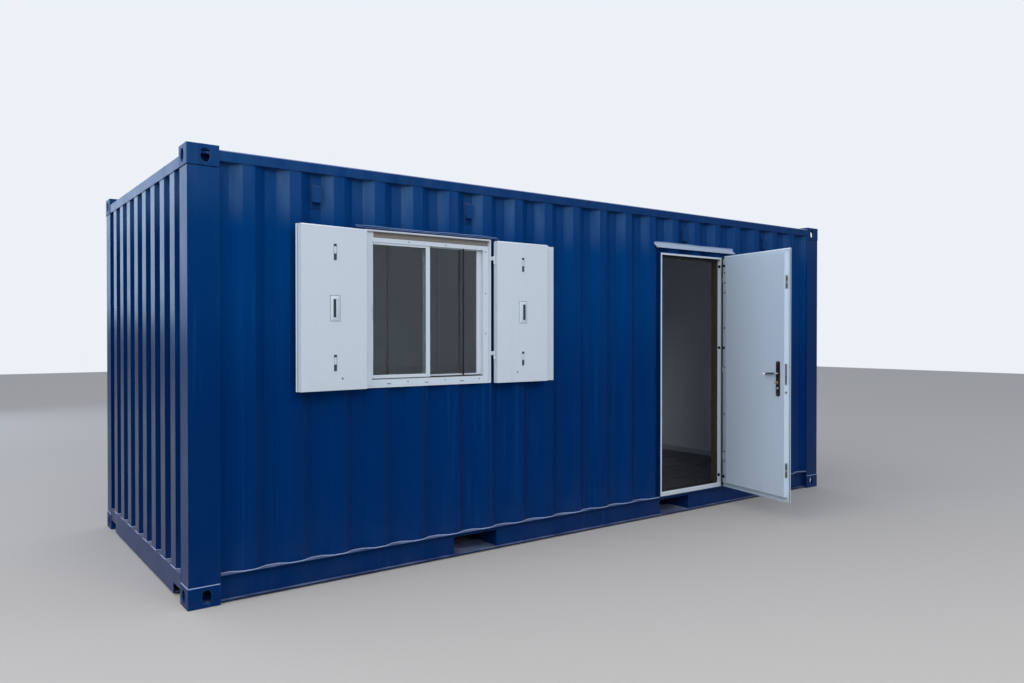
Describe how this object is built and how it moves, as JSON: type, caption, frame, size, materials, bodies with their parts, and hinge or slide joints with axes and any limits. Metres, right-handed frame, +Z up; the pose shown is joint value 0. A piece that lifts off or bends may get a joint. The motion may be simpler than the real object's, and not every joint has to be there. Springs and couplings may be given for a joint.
{
  "type": "portable site cabin",
  "caption": "Portable site cabin made from a corrugated steel container, with a hinged steel door, a window with two hinged shutters, a lined room and fork pockets.",
  "frame": {"origin": "centre of the rectangle of the bottom corner castings' apertures, in the plane on which the castings stand", "axes": "+X along the long side, from the window towards the door; +Y from the front wall to the rear wall; +Z up"},
  "size_m": [6.058, 3.2418, 2.591],
  "materials": {
    "blue_paint": "satin",
    "pale_paint": "satin",
    "grey_paint": "satin",
    "dark_paint": "satin",
    "lining_panel": "matte",
    "plywood": "matte",
    "vinyl": "satin",
    "black_steel": "satin",
    "black_plastic": "satin",
    "bare_steel": "brushed",
    "brass": "satin",
    "glass": "gloss"
  },
  "bodies": {
    "cabin": {"corner_castings_bottom": "blue_paint", "corner_castings_top": "blue_paint", "corner_posts": "blue_paint", "bottom_side_rails": "blue_paint", "bottom_end_rails": "blue_paint", "top_side_rails": "blue_paint", "top_end_rails": "blue_paint", "roof_end_plates": "blue_paint", "roof_sheet": "blue_paint", "cross_members": "blue_paint", "fork_pockets": "blue_paint", "floor_boards": "plywood", "floor_covering": "vinyl", "front_wall_panels": "blue_paint", "front_wall_infills": "blue_paint", "rear_wall": "blue_paint", "end_walls": "blue_paint", "lining_front_panels": "lining_panel", "lining_front_infills": "lining_panel", "lining_rear": "lining_panel", "lining_ends": "lining_panel", "ceiling_lining": "lining_panel", "skirting": "pale_paint", "door_frame": "pale_paint", "door_subframe": "blue_paint", "door_reveal": "dark_paint", "door_threshold": "pale_paint", "door_drip_strip": "pale_paint", "door_hinge_posts": "pale_paint", "window_surround": "pale_paint", "window_packer": "dark_paint", "window_frame": "pale_paint", "window_sliding_sash": "pale_paint", "window_fixed_sash": "pale_paint", "window_glass": "glass", "window_drip_strip": "blue_paint", "shutter_hinge_posts": "pale_paint", "ventilators": "blue_paint"},
    "door": {"door_leaf": "pale_paint", "door_hinge_straps": "pale_paint", "door_hinge_bolts": "black_steel", "door_lock_plate": "bare_steel", "door_escutcheons": "black_plastic", "door_lock_cylinders": "brass"},
    "door_handle": {"door_lever": "bare_steel"},
    "left_shutter": {"shutter_left": "pale_paint", "shutter_left_pull": "grey_paint", "shutter_left_hinges": "pale_paint"},
    "right_shutter": {"shutter_right": "pale_paint", "shutter_right_pull": "grey_paint", "shutter_right_hinges": "pale_paint"}
  },
  "joints": [
    {"name": "door_swing", "type": "hinge", "parent": "cabin", "child": "door", "pos_m": [1.545, -1.24, 0], "axis": [0, 0, 1], "range_deg": [-78.5, 86.5]},
    {"name": "door_handle_turn", "type": "hinge", "parent": "door", "child": "door_handle", "pos_m": [1.40265, -1.93967, 1.215], "axis": [-0.9799, 0.1994, 0], "range_deg": [0, 45], "stiffness_Nm_per_rad": 1},
    {"name": "left_shutter_swing", "type": "hinge", "parent": "cabin", "child": "left_shutter", "pos_m": [-1.963, -1.2535, 0], "axis": [0, 0, 1], "range_deg": [-4, 174]},
    {"name": "right_shutter_swing", "type": "hinge", "parent": "cabin", "child": "right_shutter", "pos_m": [-0.981, -1.2535, 0], "axis": [0, 0, 1], "range_deg": [-180, 0]}
  ]
}
